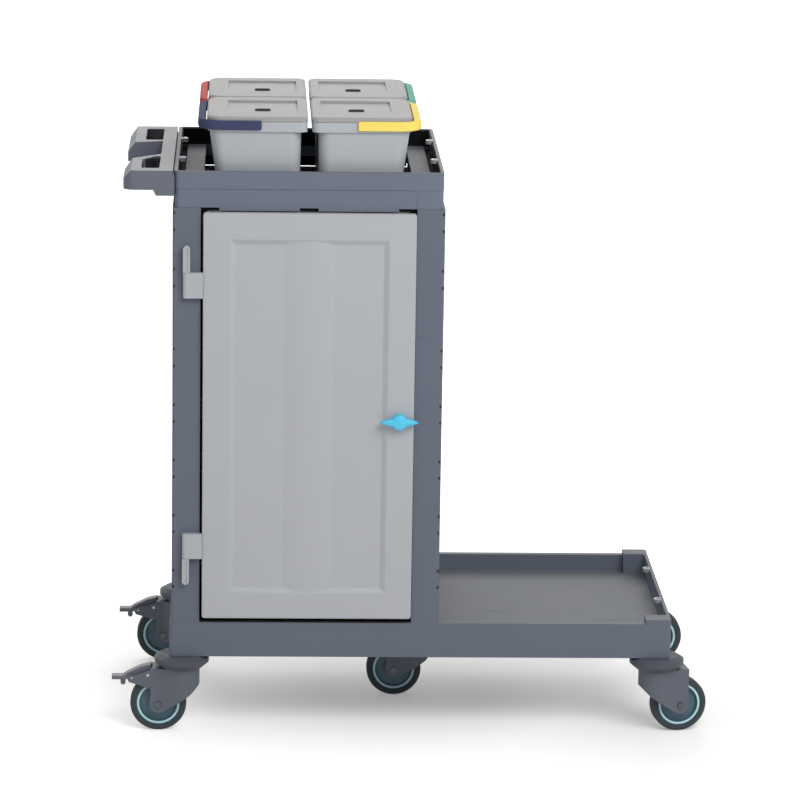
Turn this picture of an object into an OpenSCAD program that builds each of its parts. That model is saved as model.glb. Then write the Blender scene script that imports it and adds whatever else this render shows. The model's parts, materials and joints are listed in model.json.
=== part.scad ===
// Janitor cart: moulded base on five swivel casters, cabinet with a hinged door and turn latch,
// open platform, top tray with four lidded buckets, push handle.
// Millimetres. +X runs along the cart to the platform, -Y is the door side, +Z is up.
// The origin lies on the floor, in the middle of the whole cart's box.

/* [Base] */
// Length of the base
base_l = 894; // [800:1:1100]
// Depth of the base, the cabinet and the tray
base_d = 485; // [440:1:560]
// Height of the base's underside above the floor
base_z = 141; // [136:1:160]
// Height of the base from its underside to its rim
base_h = 63; // [50:1:80]
// Thickness of the base's floor
base_floor_t = 32; // [24:1:36]
// Width of the front and rear rims
base_rim_w = 14; // [10:1:20]
// Thickness of the wall at the platform's end
base_end_t = 6; // [4:0.5:10]
// Radius of the base's corners
base_corner_r = 6; // [2:0.5:12]
// Length of a raised corner block
block_l = 45; // [30:1:60]
// Depth of a raised corner block
block_d = 35; // [25:1:50]
// Rise of the corner blocks and the end wall above the rim
block_rise = 7.5; // [3:0.5:12]

/* [Cabinet] */
// Width of the cabinet
cab_w = 474; // [450:1:520]
// Step from the base's left end to the cabinet's left side
cab_inset = 4; // [2:0.5:10]
// Width of a post, seen from the front
post_w = 49; // [44:1:60]
// Depth of a post
post_d = 40; // [30:1:60]
// Thickness of the side wall between the posts
web_t = 6; // [4:0.5:10]
// Height of the lower side module
lower_h = 519; // [500:1:600]
// Height of the upper side module
upper_h = 228; // [215:1:260]
// Height of the lowest rib above the base's rim
lower_first = 66; // [40:1:80]
// Height of the upper module's lowest rib above the seam
upper_first = 89; // [80:1:95]
// Height from one pair of ribs to the next
rib_pitch = 100; // [90:1:105]
// Height from the lower to the upper rib of a pair
rib_gap = 30; // [28:1:40]
// Thickness of a rib
rib_t = 5; // [3:0.5:6]
// Depth of the groove that a pair of runners leaves in the cabinet's outer side
side_groove = 2; // [1:0.5:3]
// Radius of the cabinet's upright corners
side_r = 4; // [2:0.5:6]
// How far a runner reaches past the posts, under a shelf
runner_reach = 11; // [6:1:16]

/* [Shelves and rear panel] */
// Height of a shelf's turned-down edge
shelf_h = 22; // [12:1:23]
// Thickness of a shelf
shelf_t = 3; // [2:0.5:5]
// Gap between a shelf and the posts
shelf_gap = 1; // [0.5:0.5:3]
// Step of a shelf back from the cabinet's front
shelf_front = 34; // [28:1:60]
// Thickness of the rear panel
rear_t = 6; // [4:0.5:10]
// Step of the rear panel in from the cabinet's rear
rear_inset = 2; // [0.5:0.5:4]

/* [Door] */
// Thickness of the door
door_t = 12; // [10:0.5:16]
// How far the door stands out of the posts
door_proud = 8; // [7:0.5:10]
// Gap between the door and the hinge post
door_gap = 4.5; // [2:0.5:6]
// Gap between the door and the latch post
latch_gap = 0.7; // [0.6:0.1:2]
// Gap below the door
door_gap_low = 10; // [3:0.5:14]
// Gap above the door
door_gap_top = 2; // [1:0.5:5]
// Radius of the door's corners
door_r = 5; // [2:0.5:12]
// Width of the flat border round the door's panel
panel_margin = 47; // [30:1:60]
// Depth of the door's panel
panel_depth = 5; // [2:0.5:6]
// Width of the panel's sloped edge
panel_bevel = 9; // [3:0.5:20]
// Width of the bowed column in the panel
column_w = 86; // [60:1:120]
// Rise of the bowed column
column_rise = 4; // [2:0.5:5]

/* [Hinges] */
// Diameter of a hinge arm's barrel
barrel_d = 12.4; // [11:0.2:13]
// Diameter of a hinge pin
hinge_pin_d = 6; // [4:0.5:7]
// Height of a hinge arm
arm_h = 45; // [30:1:60]
// Thickness of a hinge arm's leaf
leaf_t = 4.5; // [3:0.5:5]
// Length of the leaf inside the door
leaf_in = 26; // [15:1:40]
// Height of a hinge bracket's strip
strip_h = 47; // [30:1:60]
// Depth of the groove in a bracket's strip
groove_t = 1.2; // [0.5:0.1:2]
// Width of that groove
groove_w = 5; // [3:0.5:7]
// Middle of the lower hinge arm above the base's rim
arm_low_z = 142; // [110:1:200]
// Middle of the upper hinge arm above the base's rim
arm_high_z = 611; // [560:1:640]

/* [Latch] */
// Step of the latch in from the door's edge
latch_inset = 26; // [22:1:34]
// Height of the latch above the base's rim
latch_z = 371; // [300:1:450]
// Width of the knob over its wings
knob_w = 68; // [56:1:76]
// Diameter of the knob's hub
knob_d = 27; // [22:1:32]
// Height of the knob's hub in front of the door
knob_h = 15; // [10:0.5:16]
// Height of the knob's wings, tip of the lens to its middle
wing_h = 16; // [10:0.5:20]
// Thickness of the knob's wings
wing_t = 9; // [6:0.5:9]
// Diameter of the latch's shaft
shaft_d = 10; // [8:0.5:12]
// Reach of the cam from the shaft's axis
cam_l = 24; // [20:1:26]
// Width of the cam
cam_w = 13; // [11:0.5:16]
// Thickness of the cam
cam_t = 4; // [3:0.5:6]
// Reach of the strike out of the post
strike_reach = 10; // [6:0.5:12]
// Thickness of the strike
strike_t = 3; // [2:0.5:5]
// Height of the strike
strike_h = 40; // [30:1:60]
// Depth of the strike's foot on the post
strike_foot = 16; // [10:1:24]

/* [Tray] */
// Step of the tray in from each side of the cabinet
tray_step = 3; // [0:0.5:6]
// Height of the tray's skirt over the posts
tray_h = 64; // [55:1:80]
// Thickness of the tray's walls
tray_wall = 6; // [5:0.5:10]
// Radius of the tray's corners
tray_r = 10; // [9:0.5:16]
// Drop of the skirt between the posts
tray_lip = 5.5; // [3:0.5:8]
// Width of a notch in the skirt
notch_w = 32; // [20:1:40]
// Width of the trough between a ledge and the end wall
trough_w = 10.5; // [9:0.5:18]
// Height of the band round the tray's rim
tray_band = 31; // [20:1:40]
// Step of the skirt back from that band
skirt_step = 0.6; // [0.2:0.1:1]
// Width of a side ledge
ledge_w = 33.5; // [20:0.5:38]
// Drop of a ledge below the rim
ledge_drop = 31; // [26:1:40]
// Thickness of a ledge
ledge_t = 6; // [3:0.5:8]
// Thickness of the liner
liner_t = 2; // [1:0.5:3]
// Drop of the liner below the rim
liner_drop = 2; // [0.5:0.5:5]

/* [Sockets] */
// Diameter of a socket's hole
socket_hole_d = 7; // [5:0.5:10]
// Width of a socket tab
socket_w = 17; // [15:0.5:26]
// Middle of the hole from the wall
socket_x = 4.2; // [4:0.1:12]
// Thickness of a socket tab
socket_t = 7; // [5:0.5:12]
// Distance between the two sockets of a wall
socket_pitch = 210; // [150:1:280]
// Rise of a socket above the rim
socket_rise = 1.5; // [0.5:0.5:4]

/* [Push handle] */
// Reach of the handle from the tray
handle_reach = 89; // [80:1:110]
// Thickness of the hand loops
handle_t = 34; // [24:1:38]
// Thickness of the handle at its root
root_t = 44; // [40:1:50]
// Length of the thick root
root_l = 32; // [20:1:40]
// Length of the slope between root and loop
root_slope = 5; // [2:0.5:10]
// Drop of the handle's top below the tray's rim
handle_drop = 0; // [0:0.5:4]
// Reach of the slope on the handle's tip
tip_x = 13; // [6:0.5:18]
// Height of the slope on the handle's tip
tip_z = 17; // [8:0.5:20]
// Width of the bar that the hand holds
bar_w = 31; // [22:1:34]
// Width of a hand hole
hole_w = 31.5; // [26:0.5:40]
// Radius of a hand hole's corners
hole_r = 6; // [2:0.5:12]
// Length of the bar left at each end of the handle
loop_edge = 29; // [20:1:40]
// Reach of the gap between the loops, forward of the middle
gap_fore = 64; // [50:1:75]
// Reach of that gap behind the middle
gap_aft = 75; // [60:1:85]
// Bar between the front hand hole and the gap
bar_fore = 25.5; // [15:0.5:35]
// Bar between the rear hand hole and the gap
bar_aft = 14.5; // [10:0.5:30]
// Slant of the front loop's inner end, over the depth of the gap
fore_slant = 62; // [30:1:70]
// Slant of the rear loop's inner end
aft_slant = 20; // [0:1:30]
// Radius of the loops' outer corners
loop_r = 20; // [8:1:26]
// Width of the slit between handle and tray
slit_w = 2.5; // [1:0.5:4]
// Depth of that slit
slit_h = 10; // [4:1:12]
// Diameter of a handle screw
screw_d = 6; // [4:0.5:7]
// Diameter of a screw's head
screw_head_d = 11; // [8:0.5:13]
// Thickness of a screw's head
screw_head_t = 3; // [2:0.5:4]
// Length of a screw in the handle
screw_in = 16; // [10:1:20]

/* [Buckets] */
// Height of a bucket
bucket_h = 164; // [150:1:200]
// Step of a bucket's wall in from its lid's edge, on the bail's side
bucket_out = 2.5; // [2:0.5:8]
// Step on the side of the cart's middle
bucket_in = 11.5; // [4:0.5:14]
// Step at the front and the rear
bucket_end = 2.5; // [2:0.5:6]
// Taper of a bucket on the bail's side
foot_out = 21.5; // [10:0.5:28]
// Taper on the side of the cart's middle
foot_in = 3; // [2:0.5:20]
// Taper at the front and the rear
foot_end = 20.5; // [10:0.5:26]
// Radius of a bucket's corners at the foot
bucket_r = 18; // [14:1:24]
// Thickness of a bucket's wall
bucket_wall = 2.5; // [1.5:0.5:4]
// Height of the band round a bucket's rim
band_h = 18; // [14:1:24]
// Thickness of that band
band_t = 3.2; // [2:0.1:4]

/* [Lids] */
// Thickness of a lid's edge
lid_t = 8; // [6:0.5:10]
// Radius of a lid's corners on the cart's middle
lid_r = 14; // [10:1:18]
// Radius of a lid's corners on its bail's side
lid_outer_r = 26; // [20:1:28]
// Height and width of the slope round a lid's top
lid_soft = 3; // [1:0.5:4]
// Gap between the two lids of a row
lid_gap = 6; // [5:0.5:12]
// Step of the lids in from the tray's left and right sides
lid_side = 55.5; // [50:0.5:62]
// Step of the lids in from the tray's front and rear
lid_edge = 9; // [8:0.5:14]
// Overhang of a lid round the bucket's band
lid_over = 1; // [0.5:0.5:2]
// Gap between the two rows of lids
row_gap = 7; // [6.5:0.5:12]
// Margin at both sides of the sunk grip panel in a lid
grip_side = 26.5; // [22:0.5:40]
// Margin at the front and the rear of that panel
grip_end = 46; // [40:1:60]
// Sinking of the panel at its rear edge
grip_sink = 4; // [2:0.5:5]
// Step of the panel towards the cart's middle
grip_off = 9; // [0:1:14]
// Step of the panel towards the rear
grip_back = 8; // [0:1:12]
// Width of the finger slot
slot_w = 28; // [20:1:36]
// Depth of the finger slot
slot_d = 20; // [12:1:24]
// Sinking of the finger slot below the lid's top
slot_sink = 6; // [5:0.5:7]
// Step of the slot forward of the lid's middle
slot_fore = 35; // [15:1:42]
// Height of the plug under a lid
plug_h = 5; // [3:0.5:8]
// Thickness of the plug's wall
plug_t = 2.5; // [1.5:0.5:4]

/* [Bails] */
// Reach of a bail past its lid's edge
bail_out = 13.5; // [10:0.5:18]
// Height of a bail's strip
bail_h = 16.5; // [12:0.5:18]
// Thickness of a bail's strip
bail_t = 2.4; // [2:0.1:2.6]
// Thickness of the grip at a bail's outer end
bail_grip = 11; // [6:0.5:12]
// Radius of a bail's bends
bail_r = 34; // [30:1:40]
// Length of a bail's strip past its pins
bail_tail = 7; // [6:0.5:9]
// Radius of the strip's end
bail_end_r = 3; // [1:0.5:5]
// Skin of a bail over the end of its pin
bail_skin = 0.8; // [0.5:0.1:1]
// Diameter of a bail's pin
bail_pin_d = 8; // [5:0.5:9]
// Height of the pins below a bucket's rim
bail_drop = 6; // [4:0.5:8]

/* [Wheels] */
// Diameter of a wheel
wheel_d = 100; // [96:1:104]
// Width of a tyre
wheel_w = 26; // [22:1:27]
// Thickness of a tyre
tyre_t = 10; // [8:0.5:16]
// Radius of a tyre's shoulder
tyre_r = 5; // [2:0.5:8]
// Width of a hub's rim
hub_rim_w = 22; // [16:1:22]
// Height of a hub's rim
hub_rim_t = 7; // [4:0.5:10]
// Thickness of a hub's disc
hub_disc_t = 10; // [6:0.5:14]
// Diameter of a hub's boss
hub_boss_d = 24; // [18:1:30]
// Gap between a hub's boss and the fork
hub_gap = 0.6; // [0.3:0.1:1]
// Diameter of an axle
axle_d = 8; // [6:0.5:10]
// Diameter of an axle's heads
axle_head_d = 12; // [11:0.5:18]
// Thickness of an axle's heads
axle_head_t = 2.5; // [2:0.5:4]

/* [Casters] */
// Step of a corner caster in from the base's end
caster_x = 22; // [18:1:40]
// Step of a corner caster in from the base's front and rear
caster_y = 24; // [20:1:40]
// Place of the centre caster from the base's left end
centre_x = 450; // [400:1:500]
// Distance from the swivel axis back to the axle
trail = 41.5; // [38:0.5:46]
// Turn of the front right caster, as it stands in the photo
right_turn = 10; // [0:1:20]
// Radius of the bumper head
head_r = 48.5; // [44:0.5:55]
// Height of the bumper's rim
head_rim_h = 8; // [6:0.5:12]
// Radius of the bumper's top, under the base
neck_r = 38; // [28:0.5:42]
// Height of the slope above the bumper's rim
neck_h = 6; // [4:0.5:12]
// Radius of the head's foot
head_foot_r = 37; // [34:0.5:42]
// Height of the slope below the bumper's rim
head_slope_h = 10; // [6:0.5:12]
// Diameter of a swivel pin
king_d = 12; // [10:0.5:14]
// Length of a swivel pin inside the base
king_in = 18; // [12:1:20]
// Diameter of the flange that holds a fork up
flange_d = 20; // [17:0.5:22]
// Thickness of that flange
flange_t = 4; // [2:0.5:5]
// Thickness of a fork's top over the flange
fork_top_t = 8; // [6:0.5:9]
// Radius of a fork round its swivel axis
fork_r = 32; // [28:0.5:34]
// Width of a fork at the axle
fork_w = 42; // [38:0.5:46]
// Width of the wheel slot in a fork
fork_slot_w = 30; // [29:0.5:32]
// Radius of a fork's lobe at the axle
lobe_r = 16; // [12:0.5:18]
// Gap between a tyre and the fork round it
tyre_gap = 4; // [3:0.5:6]
// Height at which a fork's back starts to taper, above the axle
back_z = 36; // [30:1:44]

/* [Brake] */
// Place of the pedal's pin behind the axle
pedal_x = 18.5; // [14:0.5:24]
// Height of the pedal's pin above the tyre
pedal_z = 4.5; // [4:0.5:6]
// Diameter of the pedal's pin
pedal_pin_d = 5; // [4:0.5:6]
// Radius of the pedal's boss
pedal_boss_r = 5.5; // [4.5:0.5:6]
// Length of the fork's cheeks behind the axle
cheek_l = 56; // [52:1:60]
// Drop of the cheeks' top, at their end, below the pedal's pin
cheek_drop = 5; // [3:0.5:8]
// Height of the cheeks' end
cheek_end = 8; // [5:0.5:11]
// Step of the end's lower corner
cheek_nose = 4; // [2:0.5:6]
// Length of the slope under the end
cheek_run = 14; // [10:0.5:18]
// Height of that slope
cheek_sink = 3; // [1:0.5:5]
// Reach of the pedal behind the axle
pedal_l = 83; // [76:1:90]
// Thickness of the pedal's tread
tread_t = 6.5; // [4:0.5:8]
// Width of the pedal's tread
tread_w = 18; // [14:1:24]
// Length of the flat tread
tread_l = 20; // [14:1:24]
// Drop of the tread's top below the pedal's pin
tread_drop = 5; // [3:0.5:6]
// Length of the rise in front of the tread
rise_l = 9; // [6:0.5:12]
// Height of that rise
rise_h = 6; // [4:0.5:8]
// Height of the pedal's hump above its pin
hump_h = 17; // [12:0.5:18]
// Length of the hump
hump_l = 12; // [8:0.5:18]
// Fall of the hump over that length
hump_fall = 4.5; // [3:0.5:6]
// Gap between the hump and the fork
hump_gap = 2; // [1:0.5:3]
// Middle of the lug below the pedal's pin
lug_drop = 18; // [14:0.5:20]
// Radius of the lug under the pedal
lug_r = 4.5; // [3:0.5:5]

/* [Fits] */
// Radial gap between a pin and what turns on it
run_gap = 0.05; // [0.02:0.01:0.1]
// Gap between pieces that seat on each other and move apart
seat_gap = 0.3; // [0.2:0.05:0.5]
// Gap between a bail, its lid and the next bail
bail_gap = 0.5; // [0.4:0.1:0.8]
// Gap round fixed pieces that slip into each other
slip_gap = 0.1; // [0.05:0.05:0.3]

/* [Hidden] */
$fn = 64;
past = 1;

slate = "#6b717d";
dark_slate = "#565a64";
light_grey = "#acb0b4";
lid_grey = "#bebebc";
black = "#141416";
steel = "#b8bcc0";
cyan = "#58c4eb";
rubber = "#444c52";
hub_grey = "#54626e";

// Base heights and ends
base_top = base_z + base_h;
floor_z = base_z + base_floor_t;
front_y = -base_d / 2;
wheel_r = wheel_d / 2;
left_reach = trail + pedal_l - caster_x;
right_reach = trail * cos(right_turn) + wheel_r * cos(right_turn) + wheel_w / 2 * sin(right_turn) - caster_x;
base_x0 = (left_reach - right_reach - base_l) / 2;
base_x1 = base_x0 + base_l;
base_cx = base_x0 + base_l / 2;

// Cabinet
cab_x0 = base_x0 + cab_inset;
cab_x1 = cab_x0 + cab_w;
cab_cx = cab_x0 + cab_w / 2;
door_x0 = cab_x0 + post_w + door_gap;
door_w = cab_w - 2 * post_w - door_gap - latch_gap;
seam_z = base_top + lower_h;
cab_top = seam_z + upper_h;
lower_pairs = 1 + floor((lower_h - lower_first - rib_gap - rib_t) / rib_pitch);
upper_pairs = 1 + floor((upper_h - upper_first - rib_gap - rib_t) / rib_pitch);
lower_shelf_z = base_top + lower_first + rib_pitch + rib_t / 2;
middle_shelf_z = base_top + lower_first + 3 * rib_pitch + rib_t / 2;
bucket_shelf_z = seam_z + upper_first + (upper_pairs - 1) * rib_pitch + rib_t / 2;
shelf_w = cab_w - 2 * (post_w + shelf_gap);
rear_y = base_d / 2 - rear_inset - rear_t;
platform_x0 = cab_x1;

// Door, hinge and latch
door_z0 = base_top + door_gap_low;
door_z1 = cab_top - tray_lip - door_gap_top;
door_h = door_z1 - door_z0;
door_y = front_y - door_proud;
hinge_x = cab_x0 + post_w / 2;
hinge_y = front_y - seat_gap - barrel_d / 2;
leaf_y = front_y - seat_gap - leaf_t;
latch_x = door_x0 + door_w - latch_inset;
strike_y = door_y + door_t + seat_gap;
cam_y = strike_y + strike_t + seat_gap;

// Push handle
hole_x = bar_w - handle_reach;
fore_hole_l = base_d / 2 - loop_edge - gap_fore - bar_fore;
aft_hole_l = base_d / 2 - loop_edge - gap_aft - bar_aft;

// Tray and buckets
tray_w = cab_w - 2 * tray_step;
rim_z = cab_top + tray_h;
ledge_z = rim_z - ledge_drop;
well_w = tray_w - 2 * (tray_wall + trough_w + ledge_w);
bucket_z = bucket_shelf_z + shelf_h;
bucket_top = bucket_z + bucket_h;
lid_z = bucket_top + seat_gap;
lid_w = (tray_w - 2 * lid_side - lid_gap) / 2;
lid_d = (base_d - 2 * lid_edge - row_gap) / 2;
bucket_dx = (lid_w + lid_gap) / 2;
bucket_dy = (lid_d + row_gap) / 2;
bail_z = bucket_top - bail_drop;
bail_y = lid_d / 2 + bail_gap;
bail_reach = lid_w / 2 + bail_out;
pin_y0 = lid_d / 2 - lid_over - band_t / 2;
bucket_x0 = bucket_out - lid_w / 2;
bucket_x1 = lid_w / 2 - bucket_in;
bucket_d = lid_d - 2 * bucket_end;

// Caster heights, and places as [x, y, turn]
axle_z = wheel_r;
head_z = base_z - neck_h - head_rim_h - head_slope_h;
fork_z = head_z - seat_gap;
fl = [base_x0 + caster_x, front_y + caster_y, 0];
rl = [base_x0 + caster_x, -front_y - caster_y, 0];
fr = [base_x1 - caster_x, front_y + caster_y, 180 + right_turn];
rr = [base_x1 - caster_x, -front_y - caster_y, 180];
cc = [base_x0 + centre_x, 0, 0];
casters = [fl, rl, fr, rr, cc];
pedal_pin_z = wheel_d + pedal_z;
pedal_pin_x = -trail - pedal_x;

// Rounded rectangle about the origin, of true arcs
module rrect(w, d, r) {
    square([w - 2 * r, d], center = true);
    square([w, d - 2 * r], center = true);
    for (x = [-1, 1], y = [-1, 1])
        translate([x * (w / 2 - r), y * (d / 2 - r)])
            circle(r);
}

// Extrudes a profile drawn in X and Z along Y, centred
module along_y(len) {
    rotate([90, 0, 0])
        linear_extrude(len, center = true)
            children();
}

// Cylinder along Y, from y0 to y1
module y_rod(d, y0, y1) {
    translate([0, y1, 0])
        rotate([90, 0, 0])
            cylinder(d = d, h = y1 - y0);
}

// Sunk panel with sloped edges, cut down from z = 0
module sunk_panel(w, h, depth, bevel) {
    translate([0, 0, -depth])
        linear_extrude(depth, scale = [w / (w - 2 * bevel), h / (h - 2 * bevel)], slices = 1)
            square([w - 2 * bevel, h - 2 * bevel], center = true);
    translate([-w / 2, -h / 2, 0])
        cube([w, h, past]);
}

module base_blocks() {
    for (s = [0, 1])
        mirror([0, s, 0])
            translate([base_x1 - block_l, base_d / 2 - block_d, 0])
                cube([block_l + past, block_d + past, base_top + block_rise]);
}

// End wall of the platform, as high as the corner blocks
module base_end() {
    translate([base_x1 - base_end_t, front_y, base_z])
        cube([base_end_t + past, base_d, base_h + block_rise]);
}

module base_plan() {
    translate([base_cx, 0])
        rrect(base_l, base_d, base_corner_r);
}

module base_frame() {
    inner_d = base_d - 2 * base_rim_w;
    color(slate)
        difference() {
            union() {
                translate([0, 0, base_z])
                    linear_extrude(base_h)
                        base_plan();
                intersection() {
                    translate([0, 0, base_z])
                        linear_extrude(base_h + block_rise)
                            base_plan();
                    union() {
                        base_blocks();
                        base_end();
                    }
                }
            }
            translate([cab_x0 + post_w, -inner_d / 2, floor_z])
                cube([cab_w - 2 * post_w, inner_d, base_h]);
            difference() {
                translate([platform_x0, -inner_d / 2, floor_z])
                    cube([base_x1 - base_end_t - platform_x0, inner_d, base_h]);
                base_blocks();
            }
            for (c = casters)
                translate([c[0], c[1], base_z - past])
                    cylinder(d = king_d + 2 * slip_gap, h = king_in + slip_gap + past);
        }
}

// Tab with a round socket, out of a wall at x = 0
module socket_tab() {
    linear_extrude(socket_t)
        difference() {
            union() {
                translate([0, -socket_w / 2])
                    square([socket_x, socket_w]);
                translate([socket_x, 0])
                    circle(d = socket_w);
            }
            translate([-socket_w, -socket_w / 2])
                square(socket_w);
            translate([socket_x, 0])
                circle(d = socket_hole_d);
        }
}

module socket_pair() {
    for (s = [-1, 1])
        translate([0, s * socket_pitch / 2, socket_rise - socket_t])
            socket_tab();
}

module base_sockets() {
    color(light_grey)
        translate([base_x1 - base_end_t, 0, base_top + block_rise])
            mirror([1, 0, 0])
                socket_pair();
}

// One side module with its outer face at x = 0: two posts, a wall, runners in pairs
module side_module(h, first, pairs) {
    inner_d = base_d - 2 * post_d;
    difference() {
        linear_extrude(h)
            side_plan(inner_d);
        for (i = [0 : pairs - 1], k = [0, 1])
            translate([-past, front_y - past, first + i * rib_pitch + k * rib_gap - rib_t / 2])
                cube([side_groove + past, base_d + 2 * past, rib_t]);
    }
    for (i = [0 : pairs - 1], k = [0, 1])
        translate([web_t * 3 / 4, -inner_d / 2, first + i * rib_pitch + k * rib_gap - rib_t / 2])
            cube([post_w + runner_reach - web_t * 3 / 4, inner_d, rib_t]);
}

// Plan of a side: a wall and two posts, rounded on the cabinet's outer corners
module side_plan(inner_d) {
    difference() {
        union() {
            translate([side_r, front_y])
                square([post_w - side_r, base_d]);
            translate([0, front_y + side_r])
                square([side_r + past, base_d - 2 * side_r]);
            for (s = [-1, 1])
                translate([side_r, s * (base_d / 2 - side_r)])
                    circle(side_r);
        }
        translate([web_t, -inner_d / 2])
            square([post_w, inner_d]);
    }
}

module left_side() {
    translate([cab_x0, 0, 0])
        children();
}

module right_side() {
    translate([cab_x1, 0, 0])
        mirror([1, 0, 0])
            children();
}

module lower_module() {
    translate([0, 0, base_top])
        side_module(lower_h, lower_first, lower_pairs);
}

module upper_module() {
    translate([0, 0, seam_z])
        side_module(upper_h, upper_first, upper_pairs);
}

module left_side_lower() {
    color(slate)
        left_side()
            lower_module();
}

module left_side_upper() {
    color(slate)
        left_side()
            upper_module();
}

module right_side_lower() {
    color(slate)
        right_side()
            lower_module();
}

module right_side_upper() {
    color(slate)
        right_side()
            upper_module();
}

module rear_panel() {
    w = cab_w - 2 * (post_w + slip_gap);
    h = door_z1 - base_top;
    color(slate)
        translate([cab_cx, rear_y + rear_t, base_top + h / 2])
            rotate([-90, 0, 0])
                difference() {
                    translate([-w / 2, -h / 2, -rear_t])
                        cube([w, h, rear_t]);
                    sunk_panel(w - 2 * panel_margin, h - 2 * panel_margin, rear_t / 2, panel_bevel);
                }
}

// Shelf with turned-down edges, standing on a pair of runners
module shelf(z) {
    y0 = front_y + shelf_front;
    d = rear_y - slip_gap - y0;
    translate([cab_cx, y0 + d / 2, z])
        difference() {
            translate([-shelf_w / 2, -d / 2, 0])
                cube([shelf_w, d, shelf_h]);
            translate([-shelf_w / 2 + shelf_t, -d / 2 + shelf_t, -past])
                cube([shelf_w - 2 * shelf_t, d - 2 * shelf_t, shelf_h - shelf_t + past]);
        }
}

module lower_shelf() {
    color(slate)
        shelf(lower_shelf_z);
}

module middle_shelf() {
    color(slate)
        shelf(middle_shelf_z);
}

module bucket_shelf() {
    color(slate)
        shelf(bucket_shelf_z);
}

module tray_ring(outer, inner) {
    difference() {
        rrect(tray_w - 2 * outer, base_d - 2 * outer, tray_r - outer);
        rrect(tray_w - 2 * inner, base_d - 2 * inner, tray_r - inner > 0 ? tray_r - inner : liner_t / 2);
    }
}

module tray_notches() {
    half = cab_w / 2 - post_w;
    for (x = [-half, -notch_w / 2, half - notch_w])
        translate([x, front_y - past, -tray_lip - past])
            cube([notch_w, base_d + 2 * past, tray_lip + past]);
}

module top_tray() {
    lip_w = cab_w - 2 * (post_w + slip_gap);
    ledge_l = base_d - tray_wall;
    color(slate)
        translate([cab_cx, 0, cab_top])
            difference() {
                union() {
                    linear_extrude(tray_h)
                        tray_ring(skirt_step, tray_wall);
                    translate([0, 0, tray_h - tray_band])
                        linear_extrude(tray_band)
                            tray_ring(0, tray_wall);
                    for (s = [0, 1])
                        mirror([0, s, 0])
                            translate([-lip_w / 2, front_y + 2 * skirt_step, -tray_lip])
                                cube([lip_w, tray_wall - 2 * skirt_step, tray_lip + tray_wall]);
                    for (s = [0, 1])
                        mirror([s, 0, 0])
                            translate([well_w / 2, -ledge_l / 2, tray_h - ledge_drop - ledge_t])
                                cube([ledge_w, ledge_l, ledge_t]);
                }
                tray_notches();
                for (s = [0, 1])
                    mirror([0, s, 0])
                        translate([-lip_w / 2, front_y - past, -tray_lip - past])
                            cube([lip_w, 2 * skirt_step + past, tray_h - tray_band + tray_lip + past]);
                handle_screw_spots()
                    translate([-past, 0, 0])
                        rotate([0, 90, 0]) {
                            cylinder(d = screw_d + 2 * slip_gap, h = tray_wall + 2 * past);
                            translate([0, 0, past + tray_wall - screw_head_t - slip_gap])
                                cylinder(d = screw_head_d + 2 * slip_gap, h = screw_head_t + past);
                        }
            }
}

// Puts a child at each handle screw, x = 0 on the tray's outer left wall, z = 0 on the posts' tops
module handle_screw_spots() {
    z = tray_h - handle_drop - root_t / 2 - slit_h / 2;
    for (s = [-1, 1], k = [0.25, 0.75])
        translate([-tray_w / 2, s * k * (base_d / 2 - loop_edge), z])
            children();
}

module tray_liner() {
    cut_w = socket_w + 2 * slip_gap;
    color(black)
        difference() {
            union() {
                translate([cab_cx, 0, ledge_z])
                    linear_extrude(ledge_drop - liner_drop)
                        tray_ring(tray_wall + slip_gap, tray_wall + liner_t);
                tray_socket_spots()
                    trough_lining();
            }
            tray_socket_spots()
                for (s = [-1, 1])
                    translate([0, s * socket_pitch / 2 - cut_w / 2, socket_rise - socket_t - slip_gap])
                        cube([socket_x, cut_w, socket_t + 2 * slip_gap + past]);
        }
}

// Floor of the trough behind a ledge, and the wall above it
module trough_lining() {
    len = base_d - 2 * (tray_wall + tray_r);
    translate([slip_gap, -len / 2, -ledge_drop - ledge_t]) {
        cube([trough_w - 2 * slip_gap, len, liner_t]);
        cube([liner_t - slip_gap, len, ledge_t + past]);
    }
}

// Puts a child at the tray's two end walls, x = 0 on the wall's inner face, z = 0 on the rim
module tray_socket_spots() {
    for (s = [0, 1])
        translate([cab_cx, 0, rim_z])
            mirror([s, 0, 0])
                translate([tray_wall - tray_w / 2, 0, 0])
                    children();
}

module tray_sockets() {
    color(light_grey)
        tray_socket_spots()
            socket_pair();
}

// Outline of the push handle in X and Z, x = 0 on the tray's wall, z = 0 on the handle's top
module handle_profile() {
    polygon([
        [-slit_w, 0],
        [-handle_reach + tip_x, 0],
        [-handle_reach, -tip_z],
        [-handle_reach, -handle_t],
        [-root_l - root_slope, -handle_t],
        [-root_l, -root_t],
        [0, -root_t],
        [0, -slit_h],
        [-slit_w, -slit_h],
    ]);
}

module handle_plan() {
    difference() {
        union() {
            translate([-handle_reach / 2, 0])
                square([handle_reach - 2 * loop_r, base_d], center = true);
            translate([-loop_r, front_y])
                square([loop_r, base_d]);
            translate([-handle_reach, front_y + loop_r])
                square([handle_reach, base_d - 2 * loop_r]);
            for (s = [-1, 1])
                translate([-handle_reach + loop_r, s * (base_d / 2 - loop_r)])
                    circle(loop_r);
        }
        translate([hole_x + hole_w / 2, base_d / 2 - loop_edge - aft_hole_l / 2])
            rrect(hole_w, aft_hole_l, hole_r);
        front_hole();
        loop_gap();
    }
}

// Hand hole of the front loop, its inner end slanted like the loop's
module front_hole() {
    y0 = front_y + loop_edge;
    fall = fore_slant * hole_w / (bar_w + hole_w);
    hull()
        for (p = [[0, 0], [hole_w, 0], [hole_w, fore_hole_l], [0, fore_hole_l - fall]])
            translate([
                hole_x + p[0] + (p[0] > 0 ? -hole_r : hole_r),
                y0 + p[1] + (p[1] > 0 ? -hole_r : hole_r),
            ])
                circle(hole_r, $fn = 32);
}

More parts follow.
